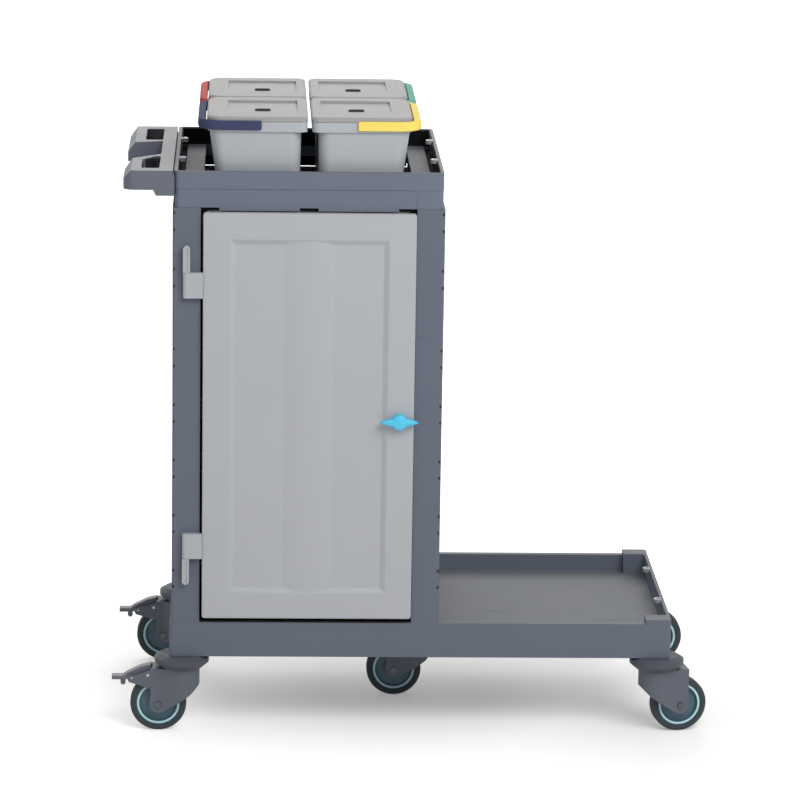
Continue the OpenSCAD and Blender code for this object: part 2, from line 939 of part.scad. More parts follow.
// Gap between the two loops, wider at the handle's tip
module loop_gap() {
    polygon([
        [hole_x + hole_w, -gap_fore],
        [-handle_reach - past, -gap_fore - fore_slant],
        [-handle_reach - past, gap_aft - aft_slant],
        [hole_x + hole_w, gap_aft],
    ]);
}

module push_handle() {
    color(slate)
        translate([cab_cx - tray_w / 2, 0, rim_z - handle_drop])
            difference() {
                intersection() {
                    along_y(base_d + past)
                        handle_profile();
                    translate([0, 0, -root_t - past])
                        linear_extrude(root_t + 2 * past)
                            handle_plan();
                }
                translate([tray_w / 2, 0, handle_drop - tray_h])
                    handle_screw_spots()
                        rotate([0, -90, 0])
                            translate([0, 0, -past])
                                cylinder(d = screw_d + 2 * slip_gap, h = screw_in + slip_gap + past);
            }
}

module handle_screws() {
    color(steel)
        translate([cab_cx, 0, cab_top])
            handle_screw_spots()
                rotate([0, 90, 0]) {
                    translate([0, 0, -screw_in])
                        cylinder(d = screw_d, h = screw_in + tray_wall - screw_head_t / 2);
                    translate([0, 0, tray_wall - screw_head_t])
                        cylinder(d = screw_head_d, h = screw_head_t);
                }
}

// Puts a child at each hinge arm's middle; the lower one is turned over
module hinge_spots() {
    translate([hinge_x, hinge_y, base_top + arm_high_z])
        children();
    translate([hinge_x, hinge_y, base_top + arm_low_z])
        mirror([0, 0, 1])
            children();
}

module hinge_brackets() {
    half = barrel_d / 2;
    color(light_grey)
        hinge_spots()
            translate([0, 0, arm_h / 2 + seat_gap])
                difference() {
                    translate([0, (front_y - hinge_y - half) / 2, 0])
                        along_y(front_y - hinge_y + half) {
                            translate([-half, 0])
                                square([barrel_d, strip_h - half]);
                            translate([0, strip_h - half])
                                circle(half);
                        }
                    translate([0, 0, -past])
                        cylinder(d = hinge_pin_d + 2 * slip_gap, h = strip_h - barrel_d + slip_gap + past);
                    translate([0, -half, 0])
                        along_y(2 * groove_t) {
                            translate([-groove_w / 2, half])
                                square([groove_w, strip_h - barrel_d]);
                            for (z = [half, strip_h - half])
                                translate([0, z])
                                    circle(d = groove_w);
                        }
                }
}

module hinge_pins() {
    color(steel)
        hinge_spots()
            translate([0, 0, -arm_h / 4])
                cylinder(d = hinge_pin_d, h = arm_h * 3 / 4 + seat_gap + strip_h - barrel_d);
}

module hinge_arms() {
    leaf_l = door_x0 + leaf_in - hinge_x;
    color(light_grey)
        hinge_spots()
            difference() {
                union() {
                    translate([0, 0, -arm_h / 2])
                        cylinder(d = barrel_d, h = arm_h);
                    translate([0, -barrel_d / 2, -arm_h / 2])
                        cube([door_x0 - slip_gap - hinge_x, barrel_d, arm_h]);
                    translate([0, leaf_y - hinge_y, -arm_h / 2])
                        cube([leaf_l, leaf_t, arm_h]);
                }
                translate([0, 0, -arm_h / 2 - past])
                    cylinder(d = hinge_pin_d + 2 * run_gap, h = arm_h + 2 * past);
            }
}

// Bowed column in the door's panel: a slice of a tall round bar, drawn with the door lying flat
module door_column(h) {
    r = (pow(column_w / 2, 2) + pow(column_rise, 2)) / (2 * column_rise);
    translate([0, 0, column_rise - r - panel_depth])
        rotate([90, 0, 0])
            cylinder(r = r, h = h, center = true, $fn = 128);
}

module door_panel() {
    panel_w = door_w - 2 * panel_margin;
    panel_h = door_h - 2 * panel_margin;
    color(light_grey)
        difference() {
            translate([door_x0 + door_w / 2, door_y, door_z0 + door_h / 2])
                rotate([90, 0, 0])
                    difference() {
                        translate([0, 0, -door_t])
                            linear_extrude(door_t)
                                rrect(door_w, door_h, door_r);
                        difference() {
                            sunk_panel(panel_w, panel_h, panel_depth, panel_bevel);
                            door_column(panel_h);
                        }
                    }
            hinge_spots()
                translate([0, leaf_y - hinge_y - slip_gap, -arm_h / 2 - slip_gap])
                    cube([
                        door_x0 + leaf_in + slip_gap - hinge_x,
                        leaf_t + 2 * slip_gap,
                        arm_h + 2 * slip_gap,
                    ]);
            translate([latch_x, 0, base_top + latch_z])
                y_rod(shaft_d + 2 * run_gap, door_y - past, door_y + door_t + past);
        }
}

// Lens outline of the knob's wings: where two large circles overlap
module wing_lens() {
    r = (pow(knob_w / 2, 2) + pow(wing_h / 2, 2)) / wing_h;
    intersection_for(s = [-1, 1])
        translate([0, s * (r - wing_h / 2)])
            circle(r, $fn = 128);
}

module latch_knob() {
    color(cyan)
        translate([latch_x, 0, base_top + latch_z]) {
            y_rod(knob_d, door_y - seat_gap - knob_h, door_y - seat_gap);
            translate([0, door_y - seat_gap - knob_h + wing_t / 2, 0])
                along_y(wing_t)
                    wing_lens();
            y_rod(shaft_d, door_y - seat_gap, cam_y + cam_t);
        }
}

module latch_cam() {
    color(steel)
        translate([latch_x, cam_y + cam_t / 2, base_top + latch_z])
            along_y(cam_t)
                difference() {
                    union() {
                        circle(d = shaft_d + cam_w / 2);
                        translate([-cam_w / 2, -cam_l + cam_w / 2])
                            square([cam_w, cam_l - cam_w / 2]);
                        translate([0, -cam_l + cam_w / 2])
                            circle(d = cam_w);
                    }
                    circle(d = shaft_d + 2 * slip_gap);
                }
}

module latch_strike() {
    color(light_grey)
        translate([cab_x1 - post_w, strike_y, base_top + latch_z - strike_h / 2]) {
            translate([-strike_reach, 0, 0])
                cube([strike_reach, strike_t, strike_h]);
            translate([-strike_t, 0, 0])
                cube([strike_t, strike_foot, strike_h / 4]);
        }
}

// Round bumper head of a caster, with its foot at z = head_z
module caster_head() {
    rim_low = head_z + head_slope_h;
    rim_high = rim_low + head_rim_h;
    bore_r = king_d / 2 + slip_gap;
    rotate_extrude($fn = 96)
        polygon([
            [bore_r, head_z],
            [head_foot_r, head_z],
            [head_r, rim_low],
            [head_r, rim_high],
            [neck_r, base_z],
            [bore_r, base_z],
        ]);
}

module caster_heads() {
    color(dark_slate)
        for (c = casters)
            translate([c[0], c[1], 0])
                caster_head();
}

module swivel_pins() {
    low = fork_z - fork_top_t - seat_gap - flange_t;
    color(steel)
        for (c = casters)
            translate([c[0], c[1], 0]) {
                translate([0, 0, low])
                    cylinder(d = king_d, h = base_z + king_in - low);
                translate([0, 0, low])
                    cylinder(d = flange_d, h = flange_t);
            }
}

// Puts a child at a caster: origin on the swivel axis at the floor, the wheel trails towards -X
module at_caster(c) {
    translate([c[0], c[1], 0])
        rotate([0, 0, c[2]])
            children();
}

// Plan of a fork: round at the swivel axis, narrower towards its rear end
module fork_plan(rear) {
    circle(fork_r);
    polygon([
        [0, fork_r], [-trail, fork_w / 2], [-trail - rear, fork_w / 2],
        [-trail - rear, -fork_w / 2], [-trail, -fork_w / 2], [0, -fork_r],
    ]);
}

// Side of a plain fork, in X and Z
module fork_side() {
    back = axle_z + back_z;
    polygon([
        [fork_r, fork_z],
        [-trail - lobe_r + tyre_gap / 2, fork_z],
        [-trail - lobe_r + tyre_gap / 2, axle_z + lobe_r],
        [-trail - lobe_r, axle_z],
        [-trail, axle_z - lobe_r],
        [-trail + lobe_r * cos(50), axle_z - lobe_r * sin(50)],
        [fork_r / 2, back - fork_r / 2],
        [fork_r, back],
    ]);
    translate([-trail, axle_z])
        circle(lobe_r);
}

// Cheeks that a braked fork has behind the wheel, in X and Z
module fork_cheeks() {
    polygon([
        [-trail, fork_z],
        [-trail - tyre_gap, fork_z],
        [-trail - cheek_l, pedal_pin_z - cheek_drop],
        [-trail - cheek_l + cheek_nose, pedal_pin_z - cheek_drop - cheek_end],
        [-trail - cheek_l + cheek_run, pedal_pin_z - cheek_drop - cheek_end - cheek_sink],
        [-trail, axle_z + wheel_r / 2],
    ]);
}

module fork(braked) {
    rear = braked ? cheek_l : lobe_r;
    pin_hole = king_d + 2 * run_gap;
    under_top = fork_z - fork_top_t;
    difference() {
        intersection() {
            linear_extrude(fork_z)
                fork_plan(rear);
            along_y(3 * fork_r) {
                fork_side();
                if (braked)
                    fork_cheeks();
            }
        }
        along_y(fork_slot_w) {
            translate([-trail, axle_z])
                circle(wheel_r + tyre_gap);
            translate([-trail - wheel_r - tyre_gap, 0])
                square([2 * (wheel_r + tyre_gap), axle_z]);
            if (braked)
                translate([-trail - cheek_l - past, axle_z])
                    square([cheek_l - pedal_x + pedal_boss_r + hump_gap + past, fork_z]);
        }
        translate([0, 0, axle_z])
            cylinder(d = flange_d + 4 * seat_gap, h = under_top - axle_z);
        cylinder(d = pin_hole, h = fork_z + past);
        translate([-trail, 0, axle_z]) {
            y_rod(axle_d + 2 * slip_gap, -fork_w, fork_w);
            y_rod(axle_head_d + 4 * seat_gap, fork_w / 2, fork_w);
            y_rod(axle_head_d + 4 * seat_gap, -fork_w, -fork_w / 2);
        }
        if (braked)
            translate([pedal_pin_x, 0, pedal_pin_z])
                y_rod(pedal_pin_d + 2 * slip_gap, -fork_w, fork_w);
    }
}

module axle() {
    half = fork_w / 2 + slip_gap;
    translate([-trail, 0, axle_z]) {
        y_rod(axle_d, -half, half);
        y_rod(axle_head_d, half, half + axle_head_t);
        y_rod(axle_head_d, -half - axle_head_t, -half);
    }
}

module pedal_pin() {
    translate([pedal_pin_x, 0, pedal_pin_z])
        y_rod(pedal_pin_d, -fork_w / 2, fork_w / 2);
}

// Pedal: a humped arm on its pin, a flat tread behind the cheeks, a lug below; drawn from its pin
module pedal() {
    boss_w = fork_slot_w - 4 * seat_gap;
    tip = pedal_x - pedal_l;
    step = tip + tread_l;
    low = -tread_drop - tread_t;
    translate([pedal_pin_x, 0, pedal_pin_z])
        difference() {
            union() {
                y_rod(2 * pedal_boss_r, -boss_w / 2, boss_w / 2);
                along_y(tread_w)
                    polygon([
                        [0, -pedal_boss_r], [pedal_boss_r, 0], [pedal_boss_r, hump_h],
                        [-hump_l, hump_h - hump_fall], [step + rise_l, rise_h - tread_drop],
                        [step, -tread_drop], [tip, -tread_drop], [tip, low], [step, low],
                    ]);
                along_y(tread_w / 2) {
                    translate([step, -lug_drop])
                        circle(lug_r);
                    translate([step - lug_r, -lug_drop])
                        square([2 * lug_r, lug_drop - tread_drop - tread_t / 2]);
                }
            }
            y_rod(pedal_pin_d + 2 * run_gap, -boss_w, boss_w);
        }
}

// Turns a profile drawn in radius and width about the wheel's axle
module wheel_round() {
    translate([-trail, 0, axle_z])
        rotate([90, 0, 0])
            rotate_extrude($fn = 96)
                children();
}

module tyre() {
    inner = wheel_r - tyre_t;
    wheel_round() {
        translate([inner, -wheel_w / 2])
            square([tyre_t - tyre_r, wheel_w]);
        translate([inner, -wheel_w / 2 + tyre_r])
            square([tyre_t, wheel_w - 2 * tyre_r]);
        for (s = [-1, 1])
            translate([wheel_r - tyre_r, s * (wheel_w / 2 - tyre_r)])
                circle(tyre_r);
    }
}

module hub() {
    outer = wheel_r - tyre_t - slip_gap;
    boss_w = fork_slot_w - 2 * hub_gap;
    bore_r = axle_d / 2 + run_gap;
    wheel_round() {
        translate([outer - hub_rim_t, -hub_rim_w / 2])
            square([hub_rim_t, hub_rim_w]);
        translate([bore_r, -hub_disc_t / 2])
            square([outer - bore_r, hub_disc_t]);
        translate([bore_r, -boss_w / 2])
            square([hub_boss_d / 2 - bore_r, boss_w]);
    }
}

module fork_fl() { color(dark_slate) at_caster(fl) fork(true); }
module fork_rl() { color(dark_slate) at_caster(rl) fork(true); }
module fork_fr() { color(dark_slate) at_caster(fr) fork(false); }
module fork_rr() { color(dark_slate) at_caster(rr) fork(false); }
module fork_c() { color(dark_slate) at_caster(cc) fork(false); }
module axle_fl() { color(steel) at_caster(fl) axle(); }
module axle_rl() { color(steel) at_caster(rl) axle(); }
module axle_fr() { color(steel) at_caster(fr) axle(); }
module axle_rr() { color(steel) at_caster(rr) axle(); }
module axle_c() { color(steel) at_caster(cc) axle(); }
module pedal_pin_fl() { color(steel) at_caster(fl) pedal_pin(); }
module pedal_pin_rl() { color(steel) at_caster(rl) pedal_pin(); }
module pedal_fl() { color(dark_slate) at_caster(fl) pedal(); }
module pedal_rl() { color(dark_slate) at_caster(rl) pedal(); }
module tyre_fl() { color(rubber) at_caster(fl) tyre(); }
module tyre_rl() { color(rubber) at_caster(rl) tyre(); }
module tyre_fr() { color(rubber) at_caster(fr) tyre(); }
module tyre_rr() { color(rubber) at_caster(rr) tyre(); }
module tyre_c() { color(rubber) at_caster(cc) tyre(); }
module hub_fl() { color(hub_grey) at_caster(fl) hub(); }
module hub_rl() { color(hub_grey) at_caster(rl) hub(); }
module hub_fr() { color(hub_grey) at_caster(fr) hub(); }
module hub_rr() { color(hub_grey) at_caster(rr) hub(); }
module hub_c() { color(hub_grey) at_caster(cc) hub(); }

// Puts a child at a bucket's place; side and row are -1 or 1, and the bail lies towards the side
module at_bucket(side, row) {
    translate([cab_cx + side * bucket_dx, row * bucket_dy, 0])
        mirror([side > 0 ? 1 : 0, 0, 0])
            children();
}

// Block that widens from a foot to a top by scaling about one point, with rounded corners
module taper(foot_x, foot, top_x, top, h, r) {
    grow = (top_x[1] - top_x[0]) / (foot_x[1] - foot_x[0]);
    still = (top_x[0] - grow * foot_x[0]) / (1 - grow);
    translate([still, 0, 0])
        linear_extrude(h, scale = [grow, top / foot], slices = 1)
            translate([(foot_x[0] + foot_x[1]) / 2 - still, 0])
                rrect(foot_x[1] - foot_x[0], foot, r, $fn = 32);
}

// Body of a bucket, drawn in from its outside by the given step
module bucket_body(step, h) {
    taper(
        [bucket_x0 + foot_out + step, bucket_x1 - foot_in - step], bucket_d - 2 * (foot_end + step),
        [bucket_x0 + step, bucket_x1 - step], bucket_d - 2 * step, h, bucket_r - step
    );
}

// Plan of a lid or a bucket's band, rounder towards -X, where the bail lies
module lid_plan(w, d, outer_r, inner_r) {
    translate([-w / 2 + outer_r, -d / 2])
        square([w - outer_r - inner_r, d]);
    translate([-w / 2, -d / 2 + outer_r])
        square([outer_r, d - 2 * outer_r]);
    translate([w / 2 - inner_r, -d / 2 + inner_r])
        square([inner_r, d - 2 * inner_r]);
    for (s = [-1, 1]) {
        translate([-w / 2 + outer_r, s * (d / 2 - outer_r)])
            circle(outer_r);
        translate([w / 2 - inner_r, s * (d / 2 - inner_r)])
            circle(inner_r);
    }
}

module bucket() {
    band_w = lid_w - 2 * lid_over;
    band_d = lid_d - 2 * lid_over;
    outer_r = lid_outer_r - lid_over;
    inner_r = lid_r - lid_over;
    translate([0, 0, bucket_z])
        difference() {
            union() {
                bucket_body(0, bucket_h);
                translate([0, 0, bucket_h - bucket_wall])
                    linear_extrude(bucket_wall)
                        lid_plan(band_w, band_d, outer_r, inner_r);
                translate([0, 0, bucket_h - band_h])
                    linear_extrude(band_h)
                        difference() {
                            lid_plan(band_w, band_d, outer_r, inner_r);
                            lid_plan(
                                band_w - 2 * band_t, band_d - 2 * band_t, outer_r - band_t, inner_r - band_t
                            );
                        }
                for (s = [0, 1])
                    mirror([0, s, 0])
                        translate([0, 0, bucket_h - bail_drop])
                            y_rod(bail_pin_d, pin_y0, bail_y + bail_t - bail_skin - seat_gap);
            }
            translate([0, 0, bucket_wall])
                bucket_body(bucket_wall, bucket_h - bucket_wall + slip_gap);
        }
}

module lid() {
    step = bucket_wall + 2 * seat_gap;
    sink = plug_h / bucket_h;
    plug_x0 = bucket_x0 + step + foot_out * sink;
    plug_x1 = bucket_x1 - step - foot_in * sink;
    plug_w = plug_x1 - plug_x0;
    plug_d = bucket_d - 2 * (step + foot_end * sink);
    plug_r = bucket_r + step;
    grip_w = lid_w - 2 * grip_side;
    grip_d = lid_d - 2 * grip_end;
    shrink = [1 - 2 * lid_soft / lid_w, 1 - 2 * lid_soft / lid_d];
    translate([0, 0, lid_z])
        difference() {
            union() {
                linear_extrude(lid_t - lid_soft)
                    lid_plan(lid_w, lid_d, lid_outer_r, lid_r);
                translate([0, 0, lid_t - lid_soft])
                    linear_extrude(lid_soft, scale = shrink, slices = 1)
                        lid_plan(lid_w, lid_d, lid_outer_r, lid_r, $fn = 48);
                translate([(plug_x0 + plug_x1) / 2, 0, -plug_h])
                    linear_extrude(plug_h + past)
                        difference() {
                            rrect(plug_w, plug_d, plug_r);
                            rrect(plug_w - 2 * plug_t, plug_d - 2 * plug_t, plug_r - plug_t);
                        }
            }
            translate([grip_off, grip_back, lid_t])
                rotate([90, 0, 90])
                    linear_extrude(grip_w, center = true)
                        polygon([
                            [-grip_d / 2, 0], [grip_d / 2, -grip_sink],
                            [grip_d / 2, past], [-grip_d / 2, past],
                        ]);
            translate([grip_off, -slot_fore, lid_t - slot_sink])
                linear_extrude(slot_sink + past)
                    rrect(slot_w, slot_d, slot_d / 3);
        }
}

// Bail: a strip bent round the bucket, lying towards -X, with a blind hole for each pin
module bail() {
    span = 2 * (bail_y + bail_t);
    strip_l = 2 * (bail_reach + bail_tail);
    translate([0, 0, bail_z])
        difference() {
            intersection() {
                translate([0, 0, -bail_h])
                    linear_extrude(2 * bail_h)
                        difference() {
                            rrect(2 * bail_reach, span, bail_r);
                            rrect(2 * (bail_reach - bail_grip), span - 2 * bail_t, bail_r - bail_grip);
                        }
                along_y(span + past)
                    translate([bail_tail - strip_l / 2, 0])
                        rrect(strip_l, bail_h, bail_end_r);
            }
            y_rod(bail_pin_d + 2 * run_gap, bail_skin - span / 2, span / 2 - bail_skin);
        }
}

module bucket_fl() { color(light_grey) at_bucket(-1, -1) bucket(); }
module bucket_fr() { color(light_grey) at_bucket(1, -1) bucket(); }
module bucket_rl() { color(light_grey) at_bucket(-1, 1) bucket(); }
module bucket_rr() { color(light_grey) at_bucket(1, 1) bucket(); }
module lid_fl() { color(lid_grey) at_bucket(-1, -1) lid(); }
module lid_fr() { color(lid_grey) at_bucket(1, -1) lid(); }
module lid_rl() { color(lid_grey) at_bucket(-1, 1) lid(); }
module lid_rr() { color(lid_grey) at_bucket(1, 1) lid(); }
module bail_fl() { color("#454a66") at_bucket(-1, -1) bail(); }
module bail_fr() { color("#f5dc6b") at_bucket(1, -1) bail(); }
module bail_rl() { color("#c8625a") at_bucket(-1, 1) bail(); }
module bail_rr() { color("#7fc4ad") at_bucket(1, 1) bail(); }

base_frame();
base_sockets();
left_side_lower();
left_side_upper();
right_side_lower();
right_side_upper();
rear_panel();
lower_shelf();
middle_shelf();
bucket_shelf();
top_tray();
tray_liner();
tray_sockets();
push_handle();
handle_screws();
hinge_brackets();
hinge_pins();
latch_strike();
caster_heads();
swivel_pins();
door_panel();
hinge_arms();
latch_knob();
latch_cam();
fork_fl();
axle_fl();
pedal_pin_fl();
pedal_fl();
tyre_fl();
hub_fl();
fork_rl();
axle_rl();
pedal_pin_rl();
pedal_rl();
tyre_rl();
hub_rl();
fork_fr();
axle_fr();
tyre_fr();
hub_fr();
fork_rr();
axle_rr();
tyre_rr();
hub_rr();
fork_c();
axle_c();
tyre_c();
hub_c();
bucket_fl();
lid_fl();
bail_fl();
bucket_fr();
lid_fr();
bail_fr();
bucket_rl();
lid_rl();
bail_rl();
bucket_rr();
lid_rr();
bail_rr();
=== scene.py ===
import json
import math
import bpy
import bmesh
from mathutils import Matrix, Vector

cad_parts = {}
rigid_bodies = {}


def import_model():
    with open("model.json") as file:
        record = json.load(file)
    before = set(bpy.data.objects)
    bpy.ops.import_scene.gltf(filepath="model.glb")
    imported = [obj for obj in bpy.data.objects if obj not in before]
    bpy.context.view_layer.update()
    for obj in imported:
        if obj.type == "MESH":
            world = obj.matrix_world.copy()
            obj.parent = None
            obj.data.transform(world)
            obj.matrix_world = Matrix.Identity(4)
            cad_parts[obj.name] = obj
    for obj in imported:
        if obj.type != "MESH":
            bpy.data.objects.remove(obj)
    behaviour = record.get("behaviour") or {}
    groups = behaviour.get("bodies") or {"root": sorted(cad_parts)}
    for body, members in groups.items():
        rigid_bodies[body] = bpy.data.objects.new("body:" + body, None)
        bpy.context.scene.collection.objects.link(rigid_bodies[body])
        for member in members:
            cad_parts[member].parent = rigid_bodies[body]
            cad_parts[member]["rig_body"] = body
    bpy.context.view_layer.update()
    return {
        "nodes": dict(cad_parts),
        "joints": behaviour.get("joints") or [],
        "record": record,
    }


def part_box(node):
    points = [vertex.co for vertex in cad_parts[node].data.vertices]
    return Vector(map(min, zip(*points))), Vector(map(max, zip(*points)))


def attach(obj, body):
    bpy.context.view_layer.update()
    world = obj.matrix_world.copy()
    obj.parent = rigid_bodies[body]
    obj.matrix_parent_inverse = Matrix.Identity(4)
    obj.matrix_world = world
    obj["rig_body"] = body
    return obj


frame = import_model()
nodes = frame["nodes"]
subparts = frame["record"]["subparts"]
scene = bpy.context.scene
print("frame loaded")


# Colours are written as sRGB 0 to 255 and turned to linear here
def linear(rgb):
    out = []
    for c in rgb:
        c = c / 255
        out.append(c / 12.92 if c <= 0.04045 else ((c + 0.055) / 1.055) ** 2.4)
    return (out[0], out[1], out[2], 1.0)


# A linear colour made darker or lighter, no brighter than white
def shade(colour, factor, lift=0.0):
    return tuple(min(1.0, c * factor + lift) for c in colour[:3]) + (1.0,)


def newMaterial(name):
    material = bpy.data.materials.new(name)
    material.use_nodes = True
    tree = material.node_tree
    tree.nodes.clear()
    return material, tree


# Links another node's output to a socket, or sets a plain value on it
def feed(tree, socket, value):
    if hasattr(value, "is_output"):
        tree.links.new(value, socket)
    else:
        socket.default_value = value


def addNode(tree, kind, **sockets):
    node = tree.nodes.new(kind)
    for key, value in sockets.items():
        feed(tree, node.inputs[key.replace("_", " ")], value)
    return node


def mathNode(tree, operation, *values, clamp=False):
    node = tree.nodes.new("ShaderNodeMath")
    node.operation = operation
    node.use_clamp = clamp
    for socket, value in zip(node.inputs, values):
        feed(tree, socket, value)
    return node.outputs[0]


def vectorNode(tree, operation, a, b):
    node = tree.nodes.new("ShaderNodeVectorMath")
    node.operation = operation
    feed(tree, node.inputs[0], a)
    feed(tree, node.inputs[1], b)
    return node.outputs["Value"]


def mixColour(tree, factor, a, b):
    node = tree.nodes.new("ShaderNodeMix")
    node.data_type = "RGBA"
    for i, value in ((0, factor), (6, a), (7, b)):  # the sockets that its colour mode uses
        feed(tree, node.inputs[i], value)
    return node.outputs[2]


def noise(tree, place, scale, detail, rough):
    node = addNode(tree, "ShaderNodeTexNoise", Vector=place, Scale=scale, Detail=detail, Roughness=rough)
    return node.outputs[0]


# Painted light on faces that look up: painted sheen where the top colour is lighter than the base, painted
# shade where it is darker, with faint scuffs along X in it
# Each pair is a factor and what is added
dust = {
    "facing": (2.5, -1.5), "settle": (0.8, 0.6),
    "streakScale": (2.5, 70.0, 1.0), "streakNoise": {"detail": 3.0, "rough": 0.55},
    "scuff": (9.0, -5.6), "scuffColour": (0.05, 0.052, 0.06, 1.0),
}


# Paints the light of the top faces (sheen on the slate, shade on the forks), then the scuffs
def dusty(tree, tone, place, normal, cloud, finish):
    split = addNode(tree, "ShaderNodeSeparateXYZ", Vector=normal)
    facing = mathNode(tree, "MULTIPLY_ADD", split.outputs["Z"], *dust["facing"], clamp=True)
    settle = mathNode(tree, "MULTIPLY_ADD", cloud, *dust["settle"])
    amount = mathNode(tree, "MULTIPLY", facing, settle)
    amount = mathNode(tree, "MULTIPLY", amount, finish["dust"])
    # painted light: the top faces take the painted top colour, patchy with the cloud
    tone = mixColour(tree, amount, tone, linear(finish["dustColour"]))

    stretch = addNode(tree, "ShaderNodeMapping", Vector=place, Scale=dust["streakScale"])
    streak = noise(tree, stretch.outputs[0], 1.0, **dust["streakNoise"])
    scuff = mathNode(tree, "MULTIPLY_ADD", streak, *dust["scuff"], clamp=True)
    scuff = mathNode(tree, "MULTIPLY", scuff, facing)
    scuff = mathNode(tree, "MULTIPLY", scuff, finish["scuff"])
    return mixColour(tree, scuff, tone, dust["scuffColour"])


# Moulded plastic: cloudy tone, fine grain, soft edges that catch a little light
moulded = {
    "cloudNoise": {"detail": 3.0, "rough": 0.6},
    "rubNoise": {"detail": 4.0, "rough": 0.7}, "rubFiner": 4,
    "grainNoise": {"detail": 2.0, "rough": 0.5}, "grainDepth": 0.0004,
    "edgeSamples": 4, "edgeMost": 0.5, "wornFactor": 1.5, "wornLift": 0.03,
}


def plastic(name, finish):
    material, tree = newMaterial(name)
    place = tree.nodes.new("ShaderNodeTexCoord").outputs["Object"]
    cloud = noise(tree, place, finish["cloudScale"], **moulded["cloudNoise"])
    base = linear(finish["colour"])
    tone = mixColour(tree, cloud, shade(base, 1 - finish["cloud"]), shade(base, 1 + finish["cloud"]))

    # Edges: where the softened normal leaves the plain one, painted lighter as wear and as a painted
    # highlight
    bevel = addNode(tree, "ShaderNodeBevel", Radius=finish["edgeRadius"])
    bevel.samples = moulded["edgeSamples"]
    softNormal = bevel.outputs[0]
    plainNormal = tree.nodes.new("ShaderNodeNewGeometry").outputs["Normal"]
    bend = mathNode(tree, "SUBTRACT", 1.0, vectorNode(tree, "DOT_PRODUCT", softNormal, plainNormal))
    edge = mathNode(tree, "MULTIPLY", bend, finish["edge"])
    edge = mathNode(tree, "MINIMUM", edge, moulded["edgeMost"])
    tone = mixColour(tree, edge, tone, shade(base, moulded["wornFactor"], moulded["wornLift"]))
    # Painted light on the top faces, with scuffs
    if finish["dust"]:
        tone = dusty(tree, tone, place, plainNormal, cloud, finish)

    rub = noise(tree, place, finish["cloudScale"] * moulded["rubFiner"], **moulded["rubNoise"])
    spread = finish["roughSpread"]
    rough = mathNode(tree, "MULTIPLY_ADD", rub, spread, finish["rough"] - spread / 2)
    grain = noise(tree, place, finish["grainScale"], **moulded["grainNoise"])
    bump = addNode(tree, "ShaderNodeBump", Strength=finish["grain"], Distance=moulded["grainDepth"],
                   Height=grain, Normal=softNormal)
    shader = addNode(tree, "ShaderNodeBsdfPrincipled", Base_Color=tone, Roughness=rough,
                     Normal=bump.outputs[0], Specular_IOR_Level=finish["specular"])
    addNode(tree, "ShaderNodeOutputMaterial", Surface=shader.outputs[0])
    return material


def look(colour, rough=0.5, **more):
    finish = {
        "colour": colour, "rough": rough, "roughSpread": 0.12, "specular": 0.4, "cloud": 0.035,
        "cloudScale": 7.0, "grain": 0.25, "grainScale": 900.0, "edgeRadius": 0.0015, "edge": 0.5,
        # The painted top colour, lighter than the slate: painted sheen on top faces
        "dust": 0.0, "dustColour": (120, 117, 112), "scuff": 0.3,
    }
    finish.update(more)
    return finish


looks = {
    # The slate finishes paint their top faces lighter and more neutral: a painted sheen
    "slate_frame": look((100, 107, 120), 0.62, edge=0.2, edgeRadius=0.0012, specular=0.2, dust=0.4),
    "slate_tray": look((107, 114, 128), 0.62, edge=0.15, edgeRadius=0.0012, specular=0.2, dust=0.5),
    "slate_handle": look((100, 106, 118), 0.55, edge=0.2, specular=0.3, dust=0.5, scuff=0.1),
    "slate_lining": look((72, 76, 84), 0.6),
    "light_grey_door": look((174, 177, 181), 0.5, cloud=0.025, edge=0.1, edgeRadius=0.004),
    "light_grey_fittings": look((172, 176, 180), 0.45),
    "socket_grey": look((150, 155, 161), 0.4),
    "black_liner": look((20, 20, 22), 0.8, specular=0.08),
    "cyan_knob": look((82, 198, 236), 0.35, cloud=0.02),
    # Painted shade: the fork's top faces are painted dark for the shade under the caster head
    "fork_grey": look((91, 97, 108), 0.45, specular=0.35, dust=0.85, dustColour=(46, 48, 53), scuff=0.0),
    "bumper_grey": look((78, 81, 90), 0.55, specular=0.25),
    "tyre_rubber": look((60, 68, 72), 0.75, grain=0.5, specular=0.25),
    "hub_grey": look((74, 104, 118), 0.4),
    "wheel_ring": look((190, 230, 236), 0.4, cloud=0.02),
    # Painted shade: dark finishes for the skins in the hand holes, the lids' finger slots and the cabinet's
    # grooves
    "hole_dark": look((34, 33, 39), 0.6),
    "slot_dark": look((70, 70, 73), 0.7, specular=0.1),
    "groove_dark": look((54, 57, 64), 0.75, specular=0.1),
    "pedal_grey": look((102, 105, 116), 0.45),
    "bucket_grey": look((174, 179, 184), 0.45, cloud=0.02, specular=0.3),
    "lid_grey": look((160, 159, 158), 0.62, cloud=0.02, specular=0.2),
    "bail_navy": look((66, 72, 101), 0.8, specular=0.08),
    "bail_yellow": look((247, 221, 112), 0.7, specular=0.12),
    "bail_red": look((198, 98, 90), 0.8, specular=0.08),
    "bail_green": look((118, 182, 162), 0.8, specular=0.08),
}

# Turned or drawn steel
drawn = {"streakScale": 400.0, "streakNoise": {"detail": 2.0, "rough": 0.6}, "dark": 0.8, "roughSpread": 0.2}


